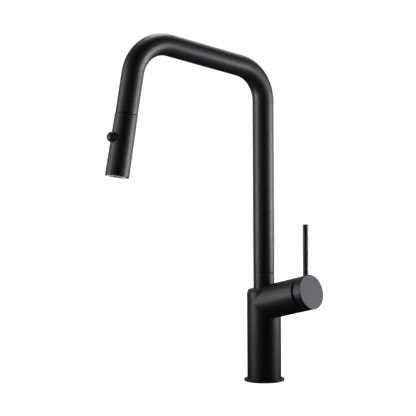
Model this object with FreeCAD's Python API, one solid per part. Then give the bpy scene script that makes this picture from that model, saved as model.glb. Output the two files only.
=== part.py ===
import FreeCAD, Part
import math
import os

# Single-lever kitchen mixer with a pull-down spray head.
# Millimetres. +Z is up, the worktop is z = 0, and the column's axis is the Z axis.
# At rest the spout points along -Y and the handle's branch leaves the body near +X.

# ---------------------------------------------------------------- driving sizes
# Spout tube: column, rising bar and leg in one bent tube
tube_od = 28.0
tube_wall = 1.5
corner_height = 410.0        # column and bar centrelines meet here
bar_length = 198.0           # from that corner to the bar and leg corner
bar_rise = 10.5              # degrees above level
bend_radius = 46.5
leg_length = 98.4            # from the bar and leg corner to the tube's end
seam_height = 144.4          # top of the fixed collar
seam_gap = 0.8               # between the collar and the turning tube

# Body and handle branch
body_top = 123.6
body_rounding = 6.5
branch_height = 103.7        # branch axis where it crosses the column axis
branch_tilt = 12.8           # degrees above level
branch_yaw = 10.2            # degrees from +X towards +Y
branch_length = 70.7         # column axis to the end of the branch
branch_wall = 3.5            # around the cartridge nut's thread
branch_chamfer = 1.0

# Base
flange_lip = 4.4             # beyond the body all round
flange_thickness = 3.6
flange_rounding = 1.4
flange_undercut = 1.2
gasket_thickness = 0.8
gasket_inset = 2.8           # inside the flange's edge
spigot_radius = 17.0         # centres the tap in a 35 mm hole
spigot_depth = 4.0
boss_step = 1.0              # the boss inside the flange beyond the spigot

# Pull-out hose and waterways
hose_radius = 5.5
hose_clearance = 0.5
port_radius = 4.5            # M10x1 tapping
port_depth = 12.0
port_circle = 12.0
riser_radius = 3.4
gallery_radius = 3.0
water_bore = 3.5

# Fixing kit
stud_radius = 3.0
stud_offset = 13.0
stud_depth = 14.0
stud_tail = 15.5             # below the nut
worktop_thickness = 40.0
clamp_radius = 25.0
clamp_slot_radius = 14.5
clamp_slot_offset = 7.0
clamp_port_room = 0.7        # round each supply hose's nipple
clamp_rubber = 3.0
clamp_steel = 2.5
nut_across_flats = 10.0
nut_height = 9.0

# Swivel
collar_wall = 2.0
collar_seat = 5.6            # collar's foot below the body's top
pivot_thread = 6.0           # below the collar's foot
pivot_wall = 3.4
pivot_reach = 47.6           # above the seam
swivel_space = 1.1           # between the pivot's neck and the tube
groove_depth = 0.8
bush_height = 8.0
lower_bush_rise = 2.6        # above the seam
upper_bush_rise = 33.6
retainer_rise = 20.6
retainer_radius = 2.0
running_clearance = 0.05
slip_ring_inset = 1.0

# Cartridge
cartridge_radius = 17.5
cartridge_clearance = 0.1
cartridge_base_thickness = 5.5
disc_thickness = 3.0
film_gap = 0.05              # between the two lapped ceramic discs
carrier_thickness = 4.0
rotor_thickness = 10.9
pivot_station = 5.15         # handle's pivot above the rotor's foot
housing_lid = 4.0
housing_wall = 2.5
lid_opening = 9.3
nut_thread_step = 1.7        # beyond the cartridge
nut_bore = 13.0
retaining_nut_height = 7.5
nut_recess = 1.15            # inside the branch's mouth
moving_clearance = 0.3
seal_section = 1.5
stem_radius = 3.8
ball_radius = 2.0
ball_clearance = 0.4
pivot_pin_radius = 1.5
flow_angle = 20.0            # degrees from shut to fully open

# Handle
cap_gap = 3.0                # between the branch and the cap
cap_length = 11.8
cap_skirt = 2.0
cap_face = 7.5
cap_chamfer = 0.35
stem_cover = 2.0             # cap metal in front of the stem's end
lever_radius = 3.45
lever_inset = 10.5           # lever's axis behind the cap's face, on the branch axis
lever_top = 209.4
lever_seat = 13.0            # lever's lower end above the branch axis
lever_rounding = 0.5
grub_radius = 2.5
grub_length = 8.0

# Hose end and dock
ferrule_wall = 0.9
ferrule_length = 26.0
shoulder_step = 1.1
shoulder_length = 3.0
nose_step = 0.95             # inside the hose's radius
nose_length = 5.5
neck_wall = 1.5
neck_clearance = 0.4
neck_drop = 10.8             # neck's top above the head's seam
hose_nut_length = 5.7
dock_length = 8.4
magnet_length = 7.0

# Spray head
head_gap = 0.7
head_length = 78.0
head_step = 0.3              # head beyond the tube at the seam
head_flare = 0.85            # and the head's foot beyond its top
head_wall = 1.6
head_roof = 4.0
head_edge = 0.4
head_shelf = 0.8             # narrows the bore above the nozzle mat
connector_flange = 2.2
connector_tail = 7.2
connector_ring_height = 3.0
valve_radius = 5.4
valve_wall = 2.4
valve_length = 8.0
diverter_gap = 0.8
diverter_length = 48.0
spool_radius = 3.1
spool_clearance = 0.1
plate_thickness = 3.8
plate_recess = 0.5
aerator_radius = 6.0
nozzle_count = 18
nozzle_edge = 2.65           # nozzle circle inside the plate's edge
nozzle_radius = 1.0
nozzle_proud = 1.5
mat_thickness = 1.5

# Spray button
button_drop = 31.2           # below the head's seam
button_radius = 6.6
button_proud = 1.06          # dome's centre beyond the head's skin
button_skirt = 3.1           # below the dome's centre
button_hollow = 4.8
hollow_depth = 4.0
button_travel = 2.5
spring_room = 4.1            # from the skirt down to the spring's seat
spring_radius = 3.6
spring_wire = 0.6
spring_turns = 3
spring_sides = 8             # bends in each turn of the coil
spring_bend = 3.2

# ---------------------------------------------------------------- derived sizes and places
V = FreeCAD.Vector
UP = V(0, 0, 1)
tube_radius = tube_od / 2
tube_bore = tube_radius - tube_wall
spout_bottom = seam_height + seam_gap
hose_bore = hose_radius + hose_clearance

nut_thread_radius = cartridge_radius + nut_thread_step
body_radius = nut_thread_radius + branch_wall
flange_radius = body_radius + flange_lip
gasket_radius = flange_radius - gasket_inset
flange_top = gasket_thickness + flange_thickness
boss_radius = spigot_radius + boss_step

collar_bottom = body_top - collar_seat
pivot_bottom = collar_bottom - pivot_thread
pivot_radius = tube_radius - collar_wall
pivot_neck = tube_bore - swivel_space
pivot_bore = pivot_neck - pivot_wall
pivot_top = seam_height + pivot_reach
groove_floor = pivot_neck - groove_depth
lower_bush = seam_height + lower_bush_rise
upper_bush = seam_height + upper_bush_rise
retainer_height = seam_height + retainer_rise

rise = math.radians(bar_rise)
bar_direction = V(0, -math.cos(rise), math.sin(rise))
leg_direction = V(0, -math.sin(rise), -math.cos(rise))
leg_outward = V(0, -math.cos(rise), math.sin(rise))
upper_corner = V(0, 0, corner_height)
outer_corner = upper_corner + bar_direction * bar_length

tilt = math.radians(branch_tilt)
yaw = math.radians(branch_yaw)
branch_level = V(math.cos(yaw), math.sin(yaw), 0)
branch_side = V(-math.sin(yaw), math.cos(yaw), 0)
branch_axis = branch_level * math.cos(tilt) + UP * math.sin(tilt)
branch_up = UP * math.cos(tilt) - branch_level * math.sin(tilt)
branch_origin = V(0, 0, branch_height)

# Stations along the branch axis, from the mouth inwards and then outwards
housing_top = branch_length - nut_recess - retaining_nut_height
lid_bottom = housing_top - housing_lid
rotor_top = lid_bottom - moving_clearance
rotor_bottom = rotor_top - rotor_thickness
carrier_top = rotor_bottom - moving_clearance
carrier_bottom = carrier_top - carrier_thickness
film_top = carrier_bottom - disc_thickness
disc_joint = film_top - film_gap
base_top = disc_joint - disc_thickness
cartridge_floor = base_top - cartridge_base_thickness
handle_pivot = rotor_bottom + pivot_station
ball_centre = carrier_bottom + ball_radius + 0.2
disc_slide = (handle_pivot - ball_centre) * math.radians(flow_angle)
housing_bore = cartridge_radius - housing_wall
moving_disc_radius = housing_bore - disc_slide - moving_clearance
cap_rear = branch_length + cap_gap
cap_front = cap_rear + cap_length
stem_end = cap_front - stem_cover
lever_foot = branch_origin + branch_axis * (cap_front - lever_inset)

# Stations along the leg axis, from the bar and leg corner down
ferrule_radius = hose_radius + ferrule_wall
shoulder_radius = ferrule_radius + shoulder_step
nose_radius = hose_radius - nose_step
neck_radius = shoulder_radius + moving_clearance + neck_wall
seam = leg_length + head_gap
neck_top = seam - neck_drop
ferrule_top = neck_top - ferrule_length
roof_bottom = seam + head_roof
flange_end = roof_bottom + connector_flange
connector_end = flange_end + connector_tail
diverter_end = connector_end + diverter_length
button_height = seam + button_drop
head_end = seam + head_length
plate_bottom = head_end - plate_recess
plate_top = plate_bottom - plate_thickness
mat_top = plate_top - mat_thickness

head_top_radius = tube_radius + head_step
head_bottom_radius = head_top_radius + head_flare
plate_radius = head_bottom_radius - head_wall
nozzle_circle = plate_radius - nozzle_edge
diverter_radius = head_top_radius - head_wall - diverter_gap

# Places outwards from the leg axis, at the button
button_centre = head_top_radius + head_flare * button_drop / head_length + button_proud
button_seat = button_centre - button_skirt
button_pocket = button_seat - spring_room


# ---------------------------------------------------------------- building blocks
def frame(origin, x_axis, z_axis):
    """Placement whose local X and Z run along the given directions."""
    y_axis = z_axis.cross(x_axis)
    return FreeCAD.Placement(FreeCAD.Matrix(
        x_axis.x, y_axis.x, z_axis.x, origin.x,
        x_axis.y, y_axis.y, z_axis.y, origin.y,
        x_axis.z, y_axis.z, z_axis.z, origin.z,
        0, 0, 0, 1))


BRANCH = frame(branch_origin, branch_up, branch_axis)
LEG = frame(outer_corner, leg_outward, leg_direction)
BUTTON = frame(outer_corner + leg_direction * button_height, leg_direction, leg_outward)


def rod(radius, low, high, x=0.0, y=0.0):
    """Round bar along local Z from low to high."""
    return Part.makeCylinder(radius, high - low, V(x, y, low), UP)


def ring(outer, inner, low, high, x=0.0, y=0.0):
    """Plain ring along local Z."""
    return rod(outer, low, high, x, y).cut(rod(inner, low, high, x, y))


def turned(profile):
    """Solid of revolution about local Z from (radius, height) points."""
    points = [V(radius, 0, height) for radius, height in profile]
    face = Part.Face(Part.makePolygon(points + points[:1]))
    return face.revolve(V(0, 0, 0), UP, 360)


def placed(shape, placement):
    """The shape moved from a local frame into the tap's frame."""
    moved = shape.copy()
    moved.Placement = placement.multiply(moved.Placement)
    return moved


def rims(shape, radius, height):
    """Circular edges of a given radius, centred on local Z at a given height."""
    return [edge for edge in shape.Edges
            if isinstance(edge.Curve, Part.Circle)
            and abs(edge.Curve.Radius - radius) < 1e-4
            and abs(edge.Curve.Center.z - height) < 1e-4]


def round_bar(points, radius, bend):
    """Round bar along straight runs joined by tangent arcs of radius bend."""
    pieces = []
    start = points[0]
    for before, corner, after in zip(points, points[1:], points[2:]):
        inward = (corner - before).normalize()
        outward = (after - corner).normalize()
        turn = inward.getAngle(outward)
        reach = bend * math.tan(turn / 2)
        bend_start = corner - inward * reach
        axis = inward.cross(outward).normalize()
        centre = bend_start + axis.cross(inward) * bend
        pieces.append(Part.makeCylinder(radius, (bend_start - start).Length, start, inward))
        disc = Part.Face(Part.Wire(Part.makeCircle(radius, bend_start, inward)))
        pieces.append(disc.revolve(centre, axis, math.degrees(turn)))
        start = corner + outward * reach
    last = points[-1] - start
    pieces.append(Part.makeCylinder(radius, last.Length, start, last))
    return pieces[0].fuse(pieces[1:]).removeSplitter()


def save(name, shape):
    """Write one node as a STEP file."""
    if not shape.isValid():
        raise ValueError(name + " is not a valid shape")
    shape.exportStep("parts/" + name + ".step")


# ---------------------------------------------------------------- base and body
def port_places():
    """Plan positions of the hot, cold and mixed-water ports."""
    return {
        "hot": branch_side * port_circle,
        "cold": branch_side * -port_circle,
        "mixed": branch_level * port_circle,
    }


def gallery_offsets():
    """Branch-frame (up, side) offsets of the drillings to the cartridge."""
    return {"hot": (1.5, 9.0), "cold": (1.5, -9.0), "mixed": (-9.5, 0.0)}


def make_base_gasket():
    return ring(gasket_radius, boss_radius, 0, gasket_thickness)


def make_base_flange():
    disc = ring(flange_radius, boss_radius, gasket_thickness, flange_top)
    disc = disc.makeFillet(flange_rounding, rims(disc, flange_radius, flange_top))
    return disc.makeFillet(flange_undercut, rims(disc, flange_radius, gasket_thickness))


def make_body_shell():
    trunk = rod(body_radius, flange_top, body_top)
    trunk = trunk.makeFillet(body_rounding, rims(trunk, body_radius, body_top))
    arm = rod(body_radius, -2, branch_length)
    arm = arm.makeChamfer(branch_chamfer, rims(arm, body_radius, branch_length))
    shell = trunk.fuse([placed(arm, BRANCH), rod(boss_radius, 0, flange_top),
                        rod(spigot_radius, -spigot_depth, 0)]).removeSplitter()
    above = body_top + body_radius
    cuts = [
        rod(hose_bore, -spigot_depth, pivot_bottom),
        rod(pivot_radius, pivot_bottom, collar_bottom),
        rod(tube_radius, collar_bottom, above),
        rod(stud_radius, -spigot_depth, stud_depth, x=-stud_offset),
        placed(rod(cartridge_radius + cartridge_clearance, cartridge_floor, housing_top), BRANCH),
        placed(rod(nut_thread_radius, housing_top, branch_length), BRANCH),
    ]
    places = port_places()
    for name, (lift, side) in gallery_offsets().items():
        spot = places[name]
        along = spot.dot(branch_level)
        station = (along + lift * math.sin(tilt)) / math.cos(tilt)
        top = branch_height + station * math.sin(tilt) + lift * math.cos(tilt)
        cuts.append(rod(port_radius, -spigot_depth, port_depth - spigot_depth, spot.x, spot.y))
        cuts.append(rod(riser_radius, 0, top, spot.x, spot.y))
        cuts.append(placed(rod(gallery_radius, station, cartridge_floor, lift, side), BRANCH))
    for cut in cuts:
        shell = shell.cut(cut)
    return shell


def make_spout_collar():
    return ring(tube_radius, pivot_radius, collar_bottom, seam_height)


def make_slip_ring():
    thickness = seam_gap - running_clearance
    return ring(tube_radius - slip_ring_inset, pivot_radius, seam_height, seam_height + thickness)


def make_swivel_pivot():
    pivot = rod(pivot_radius, pivot_bottom, seam_height).fuse(rod(pivot_neck, seam_height, pivot_top))
    pivot = pivot.fuse(rod(pivot_radius, seam_height, spout_bottom)).removeSplitter()
    for low, height in ((lower_bush, bush_height), (upper_bush, bush_height),
                        (retainer_height - 1.2 * retainer_radius, 2.4 * retainer_radius)):
        pivot = pivot.cut(ring(pivot_radius, groove_floor, low, low + height))
    return pivot.cut(rod(pivot_bore, pivot_bottom, pivot_top))


def make_bush(low):
    return ring(tube_bore - running_clearance, groove_floor, low, low + bush_height)


def make_retaining_screw():
    tip = groove_floor + moving_clearance
    length = tube_radius - tip
    return Part.makeCylinder(retainer_radius, length, V(0, tip, retainer_height), V(0, 1, 0))


# ---------------------------------------------------------------- fixing kit
def clamp_plate(low, thickness):
    """Horseshoe plate whose slot opens towards +X and clears the ports."""
    plate = rod(clamp_radius, low, low + thickness)
    slot = rod(clamp_slot_radius, low, low + thickness, x=clamp_slot_offset)
    mouth = Part.makeBox(clamp_radius, 2 * clamp_slot_radius, thickness,
                         V(clamp_slot_offset, -clamp_slot_radius, low))
    hole = rod(stud_radius + moving_clearance, low, low + thickness, x=-stud_offset)
    passages = [rod(port_radius + clamp_port_room, low, low + thickness, place.x, place.y)
                for place in port_places().values()]
    return plate.cut([slot, mouth, hole] + passages)


def make_stud():
    foot = nut_top() - nut_height - stud_tail
    return rod(stud_radius, foot, stud_depth, x=-stud_offset)


def nut_top():
    return -worktop_thickness - clamp_rubber - clamp_steel


def make_stud_nut():
    top = nut_top()
    corner = nut_across_flats / math.sqrt(3)
    points = [V(corner * math.cos(math.radians(60 * k)) - stud_offset,
                corner * math.sin(math.radians(60 * k)), top) for k in range(7)]
    blank = Part.Face(Part.makePolygon(points)).extrude(V(0, 0, -nut_height))
    return blank.cut(rod(stud_radius, top - nut_height, top, x=-stud_offset))


# ---------------------------------------------------------------- cartridge, in the branch frame
def make_cartridge_base():
    base = rod(cartridge_radius, cartridge_floor, base_top)
    for lift, side in gallery_offsets().values():
        base = base.cut(rod(gallery_radius, cartridge_floor, base_top, lift, side))
        seat = gallery_radius + seal_section
        base = base.cut(rod(seat, cartridge_floor, cartridge_floor + seal_section, lift, side))
    return base


def make_cartridge_seals():
    seals = [ring(gallery_radius + seal_section, gallery_radius, cartridge_floor,
                  cartridge_floor + seal_section, lift, side)
             for lift, side in gallery_offsets().values()]
    return Part.makeCompound(seals)


def make_fixed_disc():
    disc = rod(housing_bore, base_top, disc_joint)
    for lift, side in gallery_offsets().values():
        disc = disc.cut(rod(gallery_radius, base_top, disc_joint, lift, side))
    return disc


def make_moving_disc():
    disc = rod(moving_disc_radius, film_top, carrier_bottom)
    chamber = rod(moving_disc_radius / 2, film_top, film_top + disc_thickness / 2)
    return disc.cut(chamber)


def make_disc_carrier():
    carrier = rod(moving_disc_radius, carrier_bottom, carrier_top)
    return carrier.cut(rod(ball_radius + ball_clearance, carrier_bottom, carrier_top))


def make_cartridge_housing():
    outer = rod(cartridge_radius, base_top, housing_top)
    outer = outer.cut(rod(housing_bore, base_top, lid_bottom))
    return outer.cut(rod(lid_opening, lid_bottom, housing_top))


def make_cartridge_nut():
    low = housing_top
    nut = ring(nut_thread_radius, nut_bore, low, low + retaining_nut_height)
    for k in range(4):
        notch = Part.makeBox(3, 4, 2.5, V(nut_bore - 0.5, -2, low + retaining_nut_height - 2.5))
        notch.rotate(V(0, 0, 0), UP, 90 * k + 45)
        nut = nut.cut(notch)
    return nut


def make_rotor():
    rotor = rod(housing_bore - moving_clearance, rotor_bottom, rotor_top)
    slot_width = 2 * (stem_radius + moving_clearance)
    slot_length = 2 * lid_opening
    slot = Part.makeBox(slot_length, slot_width, rotor_thickness,
                        V(-slot_length / 2, -slot_width / 2, rotor_bottom))
    return rotor.cut(slot).cut(across(pivot_pin_radius, cartridge_radius))


def across(radius, half_length):
    """Round bar through the handle's pivot, along the branch frame's side axis."""
    return Part.makeCylinder(radius, 2 * half_length, V(0, -half_length, handle_pivot), V(0, 1, 0))


def make_pivot_pin():
    return across(pivot_pin_radius, housing_bore - 5 * moving_clearance)


def make_stem():
    low = rotor_bottom + stem_radius * math.sin(math.radians(flow_angle))
    shaft = rod(stem_radius, low, stem_end)
    neck = rod(ball_radius * 0.7, ball_centre, low)
    ball = Part.makeSphere(ball_radius, V(0, 0, ball_centre))
    stem = shaft.fuse(neck).fuse(ball).removeSplitter()
    return stem.cut(across(pivot_pin_radius + running_clearance, cartridge_radius))


# ---------------------------------------------------------------- handle
def lever_axis_rod(radius, low, high):
    """Upright round bar on the lever's axis, with heights above the branch axis."""
    return Part.makeCylinder(radius, high - low, lever_foot + UP * low, UP)


def make_handle_cap():
    blank = rod(body_radius, cap_rear, cap_front)
    blank = blank.makeChamfer(cap_chamfer, rims(blank, body_radius, cap_front))
    cavity = rod(body_radius - cap_skirt, cap_rear, cap_front - cap_face)
    cap = placed(blank.cut(cavity), BRANCH)
    boss = lever_axis_rod(lever_radius + 3, lever_seat - 2, 2 * body_radius)
    cap = cap.fuse(boss.common(placed(blank, BRANCH))).removeSplitter()
    cap = cap.cut(lever_axis_rod(lever_radius, lever_seat, 2 * body_radius))
    cap = cap.cut(placed(rod(stem_radius, cap_rear, stem_end), BRANCH))
    return cap.cut(grub_bar(body_radius))


def grub_bar(length):
    """Round bar from the stem out through the cap's underside."""
    station = cap_front - cap_face / 2
    bar = Part.makeCylinder(grub_radius, length, V(-stem_radius, 0, station), V(-1, 0, 0))
    return placed(bar, BRANCH)


def make_lever_pin():
    pin = lever_axis_rod(lever_radius, lever_seat, lever_top - lever_foot.z)
    top_edges = [edge for edge in pin.Edges if edge.BoundBox.ZMin > lever_top - 1e-3]
    return pin.makeFillet(lever_rounding, top_edges)


# ---------------------------------------------------------------- spout
def make_spout_tube():
    points = [V(0, 0, spout_bottom), upper_corner, outer_corner,
              outer_corner + leg_direction * leg_length]
    tube = round_bar(points, tube_radius, bend_radius)
    tube = tube.cut(round_bar(points, tube_bore, bend_radius))
    hole = Part.makeCylinder(retainer_radius, tube_od, V(0, 0, retainer_height), V(0, 1, 0))
    return tube.cut(hole)


def make_pull_hose():
    points = [V(0, 0, -spigot_depth), upper_corner, outer_corner,
              outer_corner + leg_direction * ferrule_top]
    return round_bar(points, hose_radius, bend_radius)


def make_spout_dock():
    low = leg_length - dock_length
    bore = neck_radius + neck_clearance
    return turned([(bore, low), (tube_bore, low), (tube_bore, leg_length),
                   (bore + 1, leg_length), (bore, leg_length - 1)])


def make_dock_magnet():
    high = leg_length - dock_length
    return ring(tube_bore, neck_radius + neck_clearance, high - magnet_length, high)


# ---------------------------------------------------------------- spray head, in the leg frame
def shell_radius(height):
    """Outer radius of the slightly flared head."""
    share = (height - seam) / head_length
    return head_top_radius + (head_bottom_radius - head_top_radius) * share


def make_head_shell():
    shell = turned([
        (neck_radius, seam), (head_top_radius - head_edge, seam),
        (head_top_radius, seam + head_edge),
        (shell_radius(head_end - head_edge), head_end - head_edge),
        (head_bottom_radius - head_edge, head_end),
        (plate_radius, head_end), (plate_radius, mat_top),
        (shell_radius(mat_top) - head_wall - head_shelf, mat_top),
        (shell_radius(roof_bottom) - head_wall, roof_bottom), (neck_radius, roof_bottom)])
    window = Part.makeCylinder(button_radius + moving_clearance, 2 * head_bottom_radius,
                               V(0, 0, button_height), V(1, 0, 0))
    return shell.cut(window)


def make_head_connector():
    nose_top = neck_top + shoulder_length + 2 * moving_clearance
    nose_bottom = nose_top + nose_length
    valve_top = connector_end - valve_length
    return turned([
        (shoulder_radius + moving_clearance, neck_top), (neck_radius, neck_top),
        (neck_radius, roof_bottom), (flange_limit(roof_bottom), roof_bottom),
        (flange_limit(roof_bottom), flange_end), (valve_radius + valve_wall, flange_end),
        (valve_radius + valve_wall, connector_end), (valve_radius, connector_end),
        (valve_radius, valve_top), (water_bore, valve_top), (water_bore, nose_bottom),
        (nose_radius + running_clearance, nose_bottom),
        (nose_radius + running_clearance, nose_top),
        (shoulder_radius + moving_clearance, nose_top)])


def flange_limit(height):
    """Radius that just clears the inside of the head."""
    return shell_radius(height) - head_wall - neck_clearance


def make_head_collar_ring():
    """Steel ring under the roof that clamps the connector's flange."""
    return ring(flange_limit(flange_end), valve_radius + valve_wall, flange_end,
                flange_end + connector_ring_height)


def make_check_valve():
    top = connector_end - valve_length
    body = rod(valve_radius, top, connector_end)
    return body.cut(ring(valve_radius - 1.2, water_bore - 1, top, connector_end - 3))


def make_hose_nut():
    return ring(neck_radius, ferrule_radius + moving_clearance, neck_top - hose_nut_length, neck_top)


def make_hose_ferrule():
    shoulder = neck_top + moving_clearance
    nose_end = shoulder + shoulder_length + nose_length
    sleeve = rod(ferrule_radius, ferrule_top, shoulder)
    sleeve = sleeve.fuse(rod(shoulder_radius, shoulder, shoulder + shoulder_length))
    sleeve = sleeve.fuse(rod(nose_radius, shoulder, nose_end)).removeSplitter()
    return sleeve.cut(rod(water_bore, ferrule_top + ferrule_length / 2, nose_end))


def make_diverter_body():
    body = rod(diverter_radius, connector_end, diverter_end)
    cross = Part.makeCylinder(spool_radius + spool_clearance, 2 * diverter_radius,
                              V(-diverter_radius, 0, button_height), V(1, 0, 0))
    pocket = Part.makeCylinder(button_radius + moving_clearance, diverter_radius,
                               V(button_pocket, 0, button_height), V(1, 0, 0))
    body = body.cut(cross).cut(pocket).cut(rod(water_bore, connector_end, diverter_end))
    for side in (-8.2, 8.2):
        body = body.cut(rod(1.6, button_height, diverter_end, y=side))
    return body


def make_diverter_seals():
    rings = []
    for height in (connector_end + 4, diverter_end - 6):
        outer = shell_radius(height) - head_wall - 0.9
        rings.append(ring(outer, diverter_radius, height, height + 1.6))
    return Part.makeCompound(rings)


def nozzle_places():
    for k in range(nozzle_count):
        angle = 2 * math.pi * (k + 0.5) / nozzle_count
        yield nozzle_circle * math.cos(angle), nozzle_circle * math.sin(angle)


def make_spray_plate():
    plate = ring(plate_radius, aerator_radius, plate_top, plate_bottom)
    for x, y in nozzle_places():
        plate = plate.cut(rod(nozzle_radius, plate_top, plate_bottom, x, y))
    return plate


def make_nozzle_mat():
    mat = ring(plate_radius, aerator_radius, mat_top, plate_top)
    tip = plate_bottom + nozzle_proud
    nubs = [rod(nozzle_radius, mat_top, tip, x, y) for x, y in nozzle_places()]
    return mat.fuse(nubs).removeSplitter()


def make_aerator():
    body = rod(aerator_radius, diverter_end, plate_bottom)
    cell, hole, depth = 1.1, 0.75, 1.5
    reach = int(aerator_radius / cell)
    for i in range(-reach, reach + 1):
        for j in range(-reach, reach + 1):
            x, y = i * cell, j * cell
            if math.hypot(x, y) < aerator_radius - 1.2:
                corner = V(x - hole / 2, y - hole / 2, plate_bottom - depth)
                body = body.cut(Part.makeBox(hole, hole, depth, corner))
    return body


# ---------------------------------------------------------------- spray button, in its own frame
def make_button():
    cap = rod(button_radius, button_seat, button_centre)
    dome = Part.makeSphere(button_radius, V(0, 0, button_centre))
    half = dome.common(rod(button_radius, button_centre, button_centre + button_radius))
    button = cap.fuse(half).removeSplitter()
    return button.cut(rod(button_hollow, button_seat, button_seat + hollow_depth))


def make_spool():
    shaft = rod(spool_radius * 0.6, button_pocket - 0.5, button_seat + hollow_depth)
    spool = rod(spool_radius, 1 - diverter_radius + button_travel, button_pocket - 0.5)
    waist = ring(spool_radius, spool_radius * 0.6, -2, 2)
    return shaft.fuse(spool).removeSplitter().cut(waist)


def make_button_spring():
    """Return spring, drawn at its pressed length so that the button never cuts it."""
    length = spring_room + hollow_depth - button_travel - 2 * spring_wire
    count = spring_turns * spring_sides
    step = 2 * math.pi / spring_sides
    points = [V(spring_radius * math.cos(step * k), spring_radius * math.sin(step * k),
                button_pocket + spring_wire + length * k / count) for k in range(count + 1)]
    return round_bar(points, spring_wire / 2, spring_bend)


# ---------------------------------------------------------------- all nodes
def main():
    os.makedirs("parts", exist_ok=True)
    clamp_top = -worktop_thickness
    save("base_gasket", make_base_gasket())
    save("base_flange", make_base_flange())
    save("body_shell", make_body_shell())
    save("spout_collar", make_spout_collar())
    save("slip_ring", make_slip_ring())
    save("swivel_pivot", make_swivel_pivot())
    save("lower_swivel_bush", make_bush(lower_bush))
    save("upper_swivel_bush", make_bush(upper_bush))
    save("fixing_stud", make_stud())
    save("clamp_gasket", clamp_plate(clamp_top - clamp_rubber, clamp_rubber))
    save("clamp_plate", clamp_plate(clamp_top - clamp_rubber - clamp_steel, clamp_steel))
    save("stud_nut", make_stud_nut())

    branch_nodes = {
        "cartridge_base": make_cartridge_base(),
        "cartridge_seals": make_cartridge_seals(),
        "fixed_ceramic_disc": make_fixed_disc(),
        "moving_ceramic_disc": make_moving_disc(),
        "disc_carrier": make_disc_carrier(),
        "cartridge_housing": make_cartridge_housing(),
        "cartridge_nut": make_cartridge_nut(),
        "cartridge_rotor": make_rotor(),
        "stem_pivot_pin": make_pivot_pin(),
        "cartridge_stem": make_stem(),
    }
    for name, shape in branch_nodes.items():
        save(name, placed(shape, BRANCH))

    save("handle_cap", make_handle_cap())
    save("lever_pin", make_lever_pin())
    save("handle_grub_screw", grub_bar(grub_length))
    save("spout_tube", make_spout_tube())
    save("spout_retaining_screw", make_retaining_screw())
    save("pull_hose", make_pull_hose())

    leg_nodes = {
        "spout_dock": make_spout_dock(),
        "dock_magnet": make_dock_magnet(),
        "hose_ferrule": make_hose_ferrule(),
        "hose_nut": make_hose_nut(),
        "head_connector": make_head_connector(),
        "connector_ring": make_head_collar_ring(),
        "check_valve": make_check_valve(),
        "head_shell": make_head_shell(),
        "diverter_body": make_diverter_body(),
        "diverter_seals": make_diverter_seals(),
        "spray_plate": make_spray_plate(),
        "nozzle_mat": make_nozzle_mat(),
        "aerator_insert": make_aerator(),
    }
    for name, shape in leg_nodes.items():
        save(name, placed(shape, LEG))

    button_nodes = {
        "spray_button": make_button(),
        "diverter_spool": make_spool(),
        "button_spring": make_button_spring(),
    }
    for name, shape in button_nodes.items():
        save(name, placed(shape, BUTTON))


main()
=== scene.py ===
import math

import bmesh
import bpy
from mathutils import Matrix, Vector


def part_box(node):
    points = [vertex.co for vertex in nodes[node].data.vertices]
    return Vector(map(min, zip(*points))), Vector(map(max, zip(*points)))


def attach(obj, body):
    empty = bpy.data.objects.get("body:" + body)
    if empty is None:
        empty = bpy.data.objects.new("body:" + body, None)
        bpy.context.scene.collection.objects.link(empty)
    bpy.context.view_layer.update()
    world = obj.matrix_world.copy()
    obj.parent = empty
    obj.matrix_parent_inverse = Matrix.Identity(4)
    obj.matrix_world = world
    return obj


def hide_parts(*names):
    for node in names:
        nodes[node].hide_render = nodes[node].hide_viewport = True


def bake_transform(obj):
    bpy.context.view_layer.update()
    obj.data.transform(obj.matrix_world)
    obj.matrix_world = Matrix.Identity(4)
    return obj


# Looks for a single-lever kitchen mixer with a pull-down spray head.
# Metres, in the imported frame: +Z up, the worktop at z = 0, the column on the Z axis,
# the spout along -Y and the handle's branch near +X.

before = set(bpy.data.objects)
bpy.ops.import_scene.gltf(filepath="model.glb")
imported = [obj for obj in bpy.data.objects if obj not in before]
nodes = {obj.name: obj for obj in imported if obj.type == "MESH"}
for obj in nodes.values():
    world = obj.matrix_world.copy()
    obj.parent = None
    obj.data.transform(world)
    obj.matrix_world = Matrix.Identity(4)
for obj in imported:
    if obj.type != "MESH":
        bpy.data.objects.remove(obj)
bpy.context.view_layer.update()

# ---------------------------------------------------------------- camera
VIEW_TURN = math.radians(52.6)       # how far round the tap the camera stands
CAMERA_DISTANCE = 1.8585
CAMERA_HEIGHT = 0.2628
CAMERA_YAW = math.radians(-2.27)
CAMERA_PITCH = math.radians(-1.0)
CAMERA_ROLL = math.radians(-0.32)
SENSOR = 36.0
LENS = 121.15

SIDE = Vector((math.cos(VIEW_TURN), math.sin(VIEW_TURN), 0))
AWAY = Vector((-math.sin(VIEW_TURN), math.cos(VIEW_TURN), 0))
UP = Vector((0, 0, 1))
TARGET = Vector((0, 0, 0.22))


def seen(side, away, up):
    """Point or direction given across, away from and above, as the camera stands."""
    return SIDE * side + AWAY * away + UP * up


def make_camera():
    data = bpy.data.cameras.new("camera")
    data.sensor_width = SENSOR
    data.lens = LENS
    camera = bpy.data.objects.new("camera", data)
    bpy.context.scene.collection.objects.link(camera)
    flat = math.cos(CAMERA_PITCH)
    forward = seen(math.sin(CAMERA_YAW) * flat, math.cos(CAMERA_YAW) * flat, math.sin(CAMERA_PITCH))
    level = seen(math.cos(CAMERA_YAW), -math.sin(CAMERA_YAW), 0)
    above = level.cross(forward)
    right = level * math.cos(CAMERA_ROLL) + above * math.sin(CAMERA_ROLL)
    top = above * math.cos(CAMERA_ROLL) - level * math.sin(CAMERA_ROLL)
    turn = Matrix((right, top, -forward)).transposed().to_4x4()
    camera.matrix_world = Matrix.Translation(seen(0, -CAMERA_DISTANCE, CAMERA_HEIGHT)) @ turn
    bpy.context.scene.camera = camera


make_camera()


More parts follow.
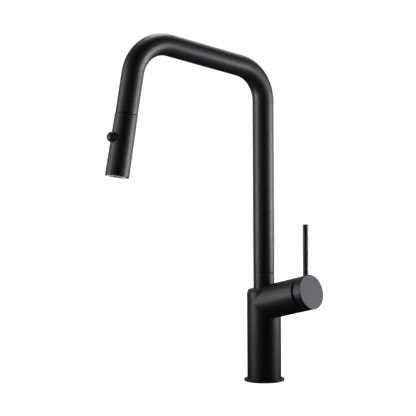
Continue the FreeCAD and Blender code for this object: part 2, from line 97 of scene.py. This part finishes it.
# ---------------------------------------------------------------- node building
NOISE_LOW, NOISE_HIGH = 0.3, 0.7     # nearly all of a noise texture's values lie between


class Nodes:
    """A material's node tree, with its main shader and object coordinates."""

    def __init__(self, name):
        self.material = bpy.data.materials.new(name)
        self.material.use_nodes = True
        self.tree = self.material.node_tree
        self.shader = self.tree.nodes["Principled BSDF"]
        self.place = self.add("ShaderNodeTexCoord").outputs["Object"]

    def add(self, kind, **settings):
        node = self.tree.nodes.new(kind)
        for key, value in settings.items():
            setattr(node, key, value)
        return node

    def link(self, output, target):
        self.tree.links.new(output, target)

    def math(self, operation, first, second):
        node = self.add("ShaderNodeMath", operation=operation)
        for socket, value in zip(node.inputs, (first, second)):
            if isinstance(value, (int, float)):
                socket.default_value = value
            else:
                self.link(value, socket)
        return node.outputs[0]

    def noise(self, scale, detail=3.0, roughness=0.5, place=None):
        node = self.add("ShaderNodeTexNoise")
        self.link(place or self.place, node.inputs["Vector"])
        node.inputs["Scale"].default_value = scale
        node.inputs["Detail"].default_value = detail
        node.inputs["Roughness"].default_value = roughness
        return node.outputs["Fac"]

    def cells(self, scale):
        node = self.add("ShaderNodeTexVoronoi")
        self.link(self.place, node.inputs["Vector"])
        node.inputs["Scale"].default_value = scale
        return node.outputs["Distance"]

    def local(self, axis, scale=(1, 1, 1)):
        """Object coordinates turned so that axis is their Z, then stretched."""
        shift = self.add("ShaderNodeMapping")
        shift.inputs["Rotation"].default_value = axis.to_track_quat("Z", "Y").inverted().to_euler()
        self.link(self.place, shift.inputs["Vector"])
        stretch = self.add("ShaderNodeMapping")
        stretch.inputs["Scale"].default_value = scale
        self.link(shift.outputs[0], stretch.inputs["Vector"])
        return stretch.outputs[0]

    def remap(self, value, low, high, start=NOISE_LOW, stop=NOISE_HIGH):
        """value from start to stop, as low to high."""
        node = self.add("ShaderNodeMapRange")
        self.link(value, node.inputs["Value"])
        node.inputs["From Min"].default_value = start
        node.inputs["From Max"].default_value = stop
        node.inputs["To Min"].default_value = low
        node.inputs["To Max"].default_value = high
        return node.outputs["Result"]

    def colour(self, value, stops):
        node = self.add("ShaderNodeValToRGB")
        ramp = node.color_ramp
        while len(ramp.elements) < len(stops):
            ramp.elements.new(0.5)
        for element, (position, rgb) in zip(ramp.elements, stops):
            element.position = position
            element.color = (*rgb, 1)
        self.link(value, node.inputs["Fac"])
        self.link(node.outputs["Color"], self.shader.inputs["Base Color"])

    def bump(self, height, depth, before=None):
        node = self.add("ShaderNodeBump")
        node.inputs["Strength"].default_value = 1.0
        node.inputs["Distance"].default_value = depth
        self.link(height, node.inputs["Height"])
        if before:
            self.link(before, node.inputs["Normal"])
        self.link(node.outputs["Normal"], self.shader.inputs["Normal"])
        return node.outputs["Normal"]

    def set(self, **values):
        for key, value in values.items():
            self.shader.inputs[key.replace("_", " ")].default_value = value

    def rough(self, value):
        self.link(value, self.shader.inputs["Roughness"])


def grey(level, tint=1.0):
    """A grey, with more blue as tint rises above 1."""
    return (level, level * (1 + (tint - 1) / 2), level * tint)


def paint(names, material):
    for name in names:
        for entry in nodes[name].material_slots:
            entry.material = material


# ---------------------------------------------------------------- axes of the branch and the leg
BRANCH_YAW = math.radians(10.2)
BRANCH_TILT = math.radians(12.8)
BAR_RISE = math.radians(10.5)
CORNER_HEIGHT = 0.410                # where the column's and the bar's centrelines meet
BAR_LENGTH = 0.198                   # from there to where the bar's and the leg's meet

branch_axis = Vector((
    math.cos(BRANCH_YAW) * math.cos(BRANCH_TILT),
    math.sin(BRANCH_YAW) * math.cos(BRANCH_TILT),
    math.sin(BRANCH_TILT)))
leg_axis = Vector((0, -math.sin(BAR_RISE), -math.cos(BAR_RISE)))
inner_corner = UP * CORNER_HEIGHT
bar_axis = Vector((0, -math.cos(BAR_RISE), math.sin(BAR_RISE)))
outer_corner = inner_corner + bar_axis * BAR_LENGTH


# ---------------------------------------------------------------- coated pieces
DRIFT_SCALE = 38                     # slow change of pigment, about 26 mm across
CLOUD_SCALE = 160                    # patches of more and less gloss, about 6 mm
PEEL_SCALE = 700                     # orange peel, about 1.4 mm
SPECK_SCALE = 2600                   # pigment grain, about 0.4 mm
PEEL_DEPTH = 2e-6
SPECK_DEPTH = 6e-7


def coated(name, level, low, high):
    """Matte black coat of albedo level and roughness low to high, with peel and pigment grain."""
    n = Nodes(name)
    drift = n.noise(DRIFT_SCALE, 4, 0.6)
    speck = n.noise(SPECK_SCALE, 2, 0.7)
    n.colour(n.math("ADD", n.math("MULTIPLY", drift, 0.6), n.math("MULTIPLY", speck, 0.4)),
             [(0.30, grey(level * 0.75)), (0.70, grey(level * 1.35))])
    cloud = n.math("ADD", n.math("MULTIPLY", n.noise(CLOUD_SCALE, 3, 0.6), 0.6),
                   n.math("MULTIPLY", speck, 0.4))
    n.rough(n.remap(cloud, low, high))
    n.bump(speck, SPECK_DEPTH, n.bump(n.noise(PEEL_SCALE, 2), PEEL_DEPTH))
    n.set(Specular_IOR_Level=0.5, IOR=1.5)
    return n.material


BLACK = 0.0022                       # albedo of the coat
paint(["base_flange", "body_shell", "spout_collar", "spout_tube", "lever_pin"],
      coated("matte_black_coat", BLACK, 0.43, 0.51))
paint(["head_shell"], coated("head_coat", BLACK, 0.43, 0.50))
paint(["handle_cap"], coated("cap_coat", BLACK, 0.43, 0.50))
paint(["spray_button"], coated("button_coat", 0.006, 0.48, 0.56))


# ---------------------------------------------------------------- hidden and small pieces
def rubber(name, level):
    """Moulded rubber: dull, with a fine dry bloom."""
    n = Nodes(name)
    bloom = n.noise(120, 4, 0.7)
    n.colour(bloom, [(0.35, grey(level * 0.7)), (0.75, grey(level * 1.6, 1.01))])
    n.rough(n.remap(n.noise(400, 3), 0.62, 0.85))
    n.bump(n.noise(1500, 3, 0.7), 8e-6)
    return n.material


def plastic(name, dark, light, low, high, texture=4e-6, specular=0.5):
    """Moulded plastic: slight flow marks and a fine spark-eroded texture."""
    n = Nodes(name)
    n.colour(n.noise(60, 3, 0.6), [(0.35, dark), (0.70, light)])
    n.rough(n.remap(n.noise(300, 3), low, high))
    n.bump(n.cells(2200), texture)
    n.set(Specular_IOR_Level=specular)
    return n.material


TOOL_PITCH = 0.00157                 # one tool ring to the next
WAVE_UNIT = 20                       # radians in a metre of a wave texture of scale 1


def turned_metal(name, dark, light, low, high, axis=UP):
    """Lathe-turned metal: tool rings along the axis, tarnish in patches."""
    n = Nodes(name)
    tarnish = n.noise(90, 5, 0.65)
    n.colour(tarnish, [(0.30, dark), (0.65, light)])
    n.rough(n.remap(n.noise(220, 4, 0.6), low, high))
    bands = n.add("ShaderNodeTexWave", wave_type="BANDS", bands_direction="Z")
    n.link(n.local(axis), bands.inputs["Vector"])
    bands.inputs["Scale"].default_value = 2 * math.pi / (WAVE_UNIT * TOOL_PITCH)
    bands.inputs["Distortion"].default_value = 1.5
    bands.inputs["Detail"].default_value = 2
    n.bump(bands.outputs["Fac"], 4e-6)
    n.set(Metallic=1.0)
    return n.material


BRUSHED = (1, 1, 0.04)               # texture stretch: scratches 25 times as long as wide
EVEN = (1, 1, 1)


def brushed_metal(name, dark, light, low, high, stretch=BRUSHED):
    """Brushed or drawn metal: long fine scratches."""
    n = Nodes(name)
    lines = n.noise(2500, 3, 0.6, n.local(UP, stretch))
    n.colour(n.math("ADD", n.math("MULTIPLY", lines, 0.5), n.math("MULTIPLY", n.noise(70, 4), 0.5)),
             [(0.35, dark), (0.65, light)])
    n.rough(n.remap(lines, low, high))
    n.bump(lines, 5e-6)
    n.set(Metallic=1.0)
    return n.material


def ceramic(name):
    """Lapped alumina: near white, with faint pores."""
    n = Nodes(name)
    n.colour(n.noise(500, 4), [(0.3, (0.78, 0.77, 0.74)), (0.7, (0.88, 0.87, 0.85))])
    pores = n.cells(1500)
    n.rough(n.remap(pores, 0.30, 0.12, 0.0, 0.5))
    n.bump(pores, 1e-6)
    return n.material


BRASS = ((0.55, 0.36, 0.13), (0.80, 0.60, 0.27))
STEEL = ((0.42, 0.42, 0.43), (0.62, 0.62, 0.63))
paint(["base_gasket", "clamp_gasket"], rubber("gasket_rubber", 0.02))
paint(["cartridge_seals", "diverter_seals"], rubber("seal_rubber", 0.012))
paint(["slip_ring", "spout_dock"],
      plastic("seam_plastic", (0.002, 0.002, 0.002), (0.005, 0.005, 0.005), 0.80, 0.95, specular=0.08))
paint(["cartridge_rotor", "disc_carrier"],
      plastic("black_plastic", (0.008, 0.008, 0.009), (0.018, 0.018, 0.020), 0.40, 0.55))
paint(["lower_swivel_bush", "upper_swivel_bush", "cartridge_base", "cartridge_housing",
       "check_valve", "diverter_body", "diverter_spool"],
      plastic("acetal", (0.66, 0.66, 0.63), (0.80, 0.80, 0.78), 0.38, 0.52, 2e-6))
paint(["swivel_pivot", "stud_nut"], turned_metal("turned_brass", *BRASS, 0.22, 0.38))
paint(["cartridge_nut", "cartridge_stem"],
      turned_metal("branch_brass", *BRASS, 0.22, 0.36, axis=branch_axis))
paint(["head_connector"], turned_metal("connector_brass", *BRASS, 0.22, 0.36, axis=leg_axis))
paint(["hose_ferrule", "hose_nut", "connector_ring"],
      turned_metal("turned_steel", *STEEL, 0.20, 0.34, axis=leg_axis))
paint(["clamp_plate", "button_spring", "stem_pivot_pin", "handle_grub_screw"],
      brushed_metal("drawn_steel", *STEEL, 0.24, 0.42))
paint(["spout_retaining_screw"],
      brushed_metal("black_oxide", (0.02, 0.02, 0.022), (0.05, 0.05, 0.055), 0.38, 0.5))
paint(["dock_magnet"],
      brushed_metal("ferrite", (0.07, 0.07, 0.075), (0.14, 0.14, 0.15), 0.5, 0.7, EVEN))
paint(["fixed_ceramic_disc", "moving_ceramic_disc"], ceramic("alumina"))
paint(["spray_plate", "aerator_insert"],
      plastic("spray_face_plastic", (0.03, 0.03, 0.032), (0.06, 0.06, 0.064), 0.34, 0.46))
paint(["nozzle_mat"], rubber("nozzle_silicone", 0.42))


# ---------------------------------------------------------------- pieces with finer shape
def tube_mesh(name, rings, around):
    """Closed mesh skin over rings of points, with UV across and along; rings are (points, v)."""
    shape = bmesh.new()
    uv = shape.loops.layers.uv.new("UVMap")
    rows = [[shape.verts.new(point) for point in points] for points, _ in rings]
    for (low, (_, v0)), (high, (_, v1)) in zip(zip(rows, rings), zip(rows[1:], rings[1:])):
        for k in range(around):
            after = (k + 1) % around
            face = shape.faces.new((low[k], low[after], high[after], high[k]))
            face.smooth = True
            corners = ((k, v0), (k + 1, v0), (k + 1, v1), (k, v1))
            for loop, (u, v) in zip(face.loops, corners):
                loop[uv].uv = (u / around, v)
    shape.faces.new(list(reversed(rows[0])))
    shape.faces.new(rows[-1])
    mesh = bpy.data.meshes.new(name)
    shape.to_mesh(mesh)
    shape.free()
    obj = bpy.data.objects.new(name, mesh)
    bpy.context.scene.collection.objects.link(obj)
    return obj


THREAD_PITCH = 0.001
THREAD_DEPTH = 0.00055
THREAD_FLAT = 0.125                  # crest or root, as a share of half the pitch
THREAD_LEAD = 1.2                    # turns over which the thread runs out at each end
THREAD_STEPS = 8                     # rings in one pitch
THREAD_AROUND = 28                   # points in one ring


def make_stud():
    """M6 fixing stud with its thread cut, inside the plain CAD rod."""
    low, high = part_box("fixing_stud")
    centre = (low + high) / 2
    radius = (high.x - low.x) / 2
    count = round((high.z - low.z) / THREAD_PITCH * THREAD_STEPS)
    rings = []
    for row in range(count + 1):
        z = low.z + (high.z - low.z) * row / count
        lead = min(row, count - row) / (THREAD_LEAD * THREAD_STEPS)
        points = []
        for k in range(THREAD_AROUND):
            turn = 2 * math.pi * k / THREAD_AROUND
            phase = (z / THREAD_PITCH - k / THREAD_AROUND) % 1
            flank = abs(2 * phase - 1)
            r = radius - THREAD_DEPTH * min(1, max(0, (1 + 2 * THREAD_FLAT) * flank - THREAD_FLAT))
            r = min(r, radius - THREAD_DEPTH * max(0, 1 - lead))
            points.append(Vector((centre.x + r * math.cos(turn), centre.y + r * math.sin(turn), z)))
        rings.append((points, z / THREAD_PITCH))
    stud = tube_mesh("threaded_stud", rings, THREAD_AROUND)
    stud.data.materials.append(brushed_metal("stud_steel", *STEEL, 0.26, 0.40, EVEN))
    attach(stud, "mixer_body")
    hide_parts("fixing_stud")


BEND = 0.0465                        # radius of the spout's bends
HOSE_END = 0.0623                    # station of the ferrule's top along the leg, from its corner
PULL = 0.240                         # how far the head pulls out
STRETCH_START = 0.0475               # stations along the leg, from its corner
STRETCH_END = 0.0618
BRAID_STEP = 0.0006                  # ring spacing where the hose shows
BRAID_MARGIN = 0.004                 # and for this far before the stretch
PLAIN_STEP = 0.0030                  # ring spacing where it never shows
BRAID_AROUND = 48                    # points in one ring
BRAID_STRANDS = 12
BRAID_PITCH = 0.0110                 # the weave repeats twice in this length
BRAID_RELIEF = 0.00016


def hose_route():
    """Runs and arcs of the hose's centreline: (length, start, heading, an arc's centre and axis)."""
    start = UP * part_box("pull_hose")[0].z
    end = outer_corner + leg_axis * HOSE_END
    legs = []
    for point, heading, leaving in ((inner_corner, UP, bar_axis), (outer_corner, bar_axis, leg_axis)):
        turn = heading.angle(leaving)
        reach = BEND * math.tan(turn / 2)
        axis = heading.cross(leaving).normalized()
        begin = point - heading * reach
        centre = begin + axis.cross(heading) * BEND
        legs.append(((begin - start).length, start, heading, None, None))
        legs.append((BEND * turn, begin, heading, centre, axis))
        start = point + leaving * reach
    legs.append(((end - start).length, start, leg_axis, None, None))
    return legs


def route_point(legs, distance):
    """Point and heading at a distance along the route."""
    for leg in legs:
        length, start, heading, centre, axis = leg
        if distance <= length or leg is legs[-1]:
            if centre is None:
                return start + heading * distance, heading
            turn = Matrix.Rotation(distance / BEND, 3, axis)
            return centre + turn @ (start - centre), turn @ heading
        distance -= length


def braid_height(u, v):
    """0 to 1: strands wound both ways, each passing over and under the other."""
    left = math.sin(math.pi * (BRAID_STRANDS * u + v))
    right = math.sin(math.pi * (BRAID_STRANDS * u - v))
    over = (1 + math.cos(math.pi * (BRAID_STRANDS * u + v))
            * math.cos(math.pi * (BRAID_STRANDS * u - v))) / 2
    return abs(left) * over + abs(right) * (1 - over)


def make_hose():
    """Nylon-braided pull-out hose. The riser in the column stays in place as the head is pulled.

    The rest stretches by PULL over a hidden few millimetres of the leg, with a smooth-step share,
    so rings lie closer there and the weave is spread as it is once pulled.
    """
    legs = hose_route()
    total = sum(leg[0] for leg in legs)
    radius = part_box("pull_hose")[1].x
    leg_start = total - HOSE_END         # as if the leg ran on to its corner
    stretch = STRETCH_END - STRETCH_START
    distances = []
    distance = 0.0
    while distance < total:
        distances.append(distance)
        station = distance - leg_start
        if STRETCH_START <= station < STRETCH_END:
            share = (station - STRETCH_START) / stretch
            distance += BRAID_STEP / (1 + 6 * share * (1 - share) * PULL / stretch)
        else:
            distance += BRAID_STEP if station > STRETCH_START - BRAID_MARGIN else PLAIN_STEP
    distances.append(total)
    rings = []
    side = Vector((1, 0, 0))
    for distance in distances:
        centre, heading = route_point(legs, distance)
        share = min(1, max(0, (distance - leg_start - STRETCH_START) / stretch))
        pulled = distance + PULL * share * share * (3 - 2 * share)
        v = pulled / BRAID_PITCH * 2
        across = heading.cross(side)
        points = []
        for k in range(BRAID_AROUND):
            u = k / BRAID_AROUND
            r = radius - BRAID_RELIEF * (1 - braid_height(u, v))
            turn = 2 * math.pi * u
            points.append(centre + side * (r * math.cos(turn)) + across * (r * math.sin(turn)))
        rings.append((points, v))
    riser_length = legs[0][0] + legs[1][0]
    joint = next(k for k, distance in enumerate(distances) if distance > riser_length)
    material = braid("hose_braid")
    riser = tube_mesh("braided_riser", rings[:joint + 1], BRAID_AROUND)
    hose = tube_mesh("braided_hose", rings[joint:], BRAID_AROUND)
    for piece in (riser, hose):
        piece.data.materials.append(material)
        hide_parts("pull_hose")
    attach(riser, "spout")
    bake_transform(hose)


def braid(name):
    """Grey nylon braid: two sets of crossing strands with dark gaps, each strand coloured lighter
    towards its crest as a painted highlight.
    """
    n = Nodes(name)
    uv = n.add("ShaderNodeTexCoord").outputs["UV"]
    split = n.add("ShaderNodeSeparateXYZ")
    n.link(uv, split.inputs[0])
    around = n.math("MULTIPLY", split.outputs["X"], BRAID_STRANDS)
    strands = []
    for way in ("ADD", "SUBTRACT"):
        phase = n.math("MULTIPLY", n.math(way, around, split.outputs["Y"]), math.pi)
        strands.append(n.math("ABSOLUTE", n.math("SINE", phase, 0), 0))
    weave_and_crest_highlight = n.math("MAXIMUM", *strands)
    fibre = n.noise(3000, 3, 0.7)
    # colour follows the strand profile: lightest along each crest as a painted highlight, darkest in
    # the gaps between strands
    n.colour(n.math("MULTIPLY", weave_and_crest_highlight, n.remap(fibre, 0.7, 1.0)),
             [(0.35, (0.015, 0.015, 0.016)), (0.95, (0.10, 0.10, 0.105))])
    n.rough(n.remap(fibre, 0.45, 0.65))
    n.bump(weave_and_crest_highlight, 6e-5)
    return n.material


make_stud()
make_hose()


# ---------------------------------------------------------------- stage and light
def staged(name, mesh, level, strength):
    """A dull stage piece of albedo level, glowing with strength, kept out of reflections."""
    obj = bpy.data.objects.new(name, mesh)
    bpy.context.scene.collection.objects.link(obj)
    material = bpy.data.materials.new(name)
    material.use_nodes = True
    shader = material.node_tree.nodes["Principled BSDF"]
    shader.inputs["Base Color"].default_value = (level, level, level, 1)
    shader.inputs["Roughness"].default_value = 1.0
    shader.inputs["Specular IOR Level"].default_value = 0.0
    shader.inputs["Emission Color"].default_value = (1, 1, 1, 1)
    shader.inputs["Emission Strength"].default_value = strength
    mesh.materials.append(material)
    obj.visible_glossy = False
    obj.visible_diffuse = False
    return obj


FLOOR_RADIUS = 13
FLOOR_LEVEL = 0.8
FLOOR_GLOW = 1.0
TRAY_RADIUS = 0.92
TRAY_DROP = 0.0005                   # below the floor
TRAY_RIM = 0.085
BACKDROP_RADIUS = 14
BACKDROP_GLOW = 1.1
CIRCLE_SIDES = 96


def disc(name, radius, height, rim=0):
    """A flat round plate, with a wall of height rim round its edge."""
    shape = bmesh.new()
    bmesh.ops.create_circle(shape, cap_ends=True, segments=CIRCLE_SIDES, radius=radius,
                            matrix=Matrix.Translation((0, 0, height)))
    if rim:
        bmesh.ops.create_cone(shape, segments=CIRCLE_SIDES, radius1=radius, radius2=radius, depth=rim,
                              matrix=Matrix.Translation((0, 0, height + rim / 2)))
    mesh = bpy.data.meshes.new(name)
    shape.to_mesh(mesh)
    shape.free()
    return mesh


def make_stage():
    """White floor out to a white backdrop; a black tray, unseen, shades the tap's foot."""
    floor = staged("floor", disc("floor", FLOOR_RADIUS, 0), FLOOR_LEVEL, FLOOR_GLOW)
    floor.visible_shadow = False
    floor.visible_diffuse = True
    tray = staged("table", disc("table", TRAY_RADIUS, -TRAY_DROP, TRAY_RIM), 0, 0)
    tray.visible_camera = False
    tray.visible_glossy = True
    dome = bmesh.new()
    bmesh.ops.create_icosphere(dome, subdivisions=4, radius=BACKDROP_RADIUS)
    mesh = bpy.data.meshes.new("backdrop")
    dome.to_mesh(mesh)
    dome.free()
    staged("backdrop", mesh, 0, BACKDROP_GLOW).visible_shadow = False


LIGHT_DISTANCE = 2.2
LIGHT_POWER = 30.0                   # watts for each square metre of softbox at strength 1
LIGHT_COLOUR = (0.94, 0.924, 1.0)
WORLD_COLOUR = (0.92, 0.91, 1, 1)
WORLD_STRENGTH = 0.012
# name, azimuth round from the camera (right is positive), elevation, width, height, strength;
# angles in degrees as seen from the tap
SOFTBOXES = (
    ("left_key", -76, -5, 18, 19, 2.36),
    ("left_high", -90, 22, 38, 20, 0.36),
    ("left_back", -150, 2, 15, 16, 0.21),
    ("left_front", -42, 10, 20, 24, 0.06),
    ("right_low", 75, -16, 18, 20, 2.40),
    ("right_key", 98, -5, 30, 19, 2.32),
    ("right_high", 100, 20, 20, 20, 0.18),
    ("right_back", 150, 2, 15, 16, 0.20),
    ("back", 168, 40, 48, 20, 0.28),
    ("top_back", 180, 62, 40, 24, 1.45),
    ("top_left", -135, 62, 40, 24, 0.18),
)


def softbox(name, azimuth, elevation, width, height, strength):
    around, rise = math.radians(azimuth), math.radians(elevation)
    data = bpy.data.lights.new(name, "AREA")
    data.shape = "RECTANGLE"
    data.size = 2 * LIGHT_DISTANCE * math.tan(math.radians(width / 2)) * math.cos(rise)
    data.size_y = 2 * LIGHT_DISTANCE * math.tan(math.radians(height / 2))
    data.energy = LIGHT_POWER * strength * data.size * data.size_y
    data.color = LIGHT_COLOUR
    light = bpy.data.objects.new(name, data)
    bpy.context.scene.collection.objects.link(light)
    flat = math.cos(rise)
    direction = seen(math.sin(around) * flat, -math.cos(around) * flat, math.sin(rise))
    light.matrix_world = (Matrix.Translation(TARGET + direction * LIGHT_DISTANCE)
                          @ direction.to_track_quat("Z", "Y").to_matrix().to_4x4())
    light.visible_camera = False


def make_light():
    world = bpy.data.worlds.new("studio")
    bpy.context.scene.world = world
    world.use_nodes = True
    background = world.node_tree.nodes["Background"]
    background.inputs["Color"].default_value = WORLD_COLOUR
    background.inputs["Strength"].default_value = WORLD_STRENGTH
    for facts in SOFTBOXES:
        softbox(*facts)
    bpy.context.scene.view_settings.view_transform = "Standard"


make_stage()
make_light()
